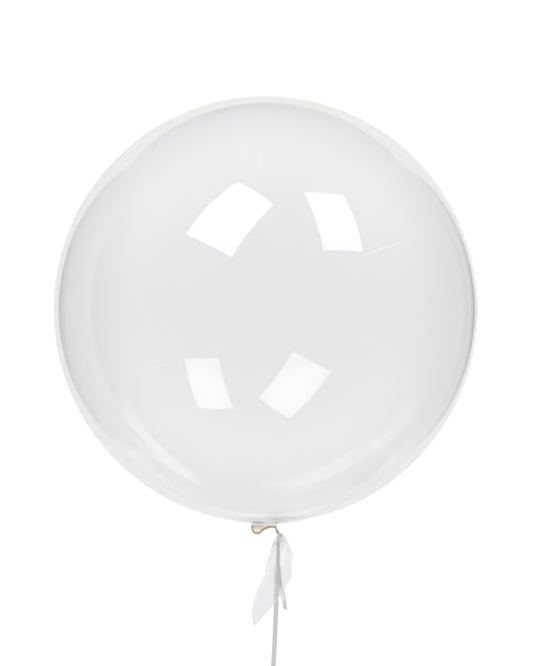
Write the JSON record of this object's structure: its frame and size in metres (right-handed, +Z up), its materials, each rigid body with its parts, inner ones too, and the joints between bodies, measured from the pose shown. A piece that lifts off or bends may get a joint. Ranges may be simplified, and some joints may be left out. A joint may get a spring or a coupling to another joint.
{
  "type": "clear bubble balloon",
  "caption": "Round clear bubble balloon lying on its side, with a gathered neck, slanted filler tail and a knotted curling ribbon whose long end is wound into a coil.",
  "frame": {"origin": "centre of the small flat spot under the bubble, on the surface that the balloon lies on", "axes": "+Z up from the surface, -Y along the neck and the tail, +X to the right when looking down with the neck towards the viewer"},
  "size_m": [0.4598, 0.7222, 0.4585],
  "materials": {
    "clear_film": "clear glossy plastic film",
    "ribbon": "satin pale grey curling ribbon"
  },
  "bodies": {
    "root": {"bubble_balloon": "clear_film", "ribbon_knot": "ribbon", "ribbon_short_end": "ribbon", "ribbon_long_end": "ribbon", "ribbon_coil": "ribbon"}
  },
  "joints": []
}
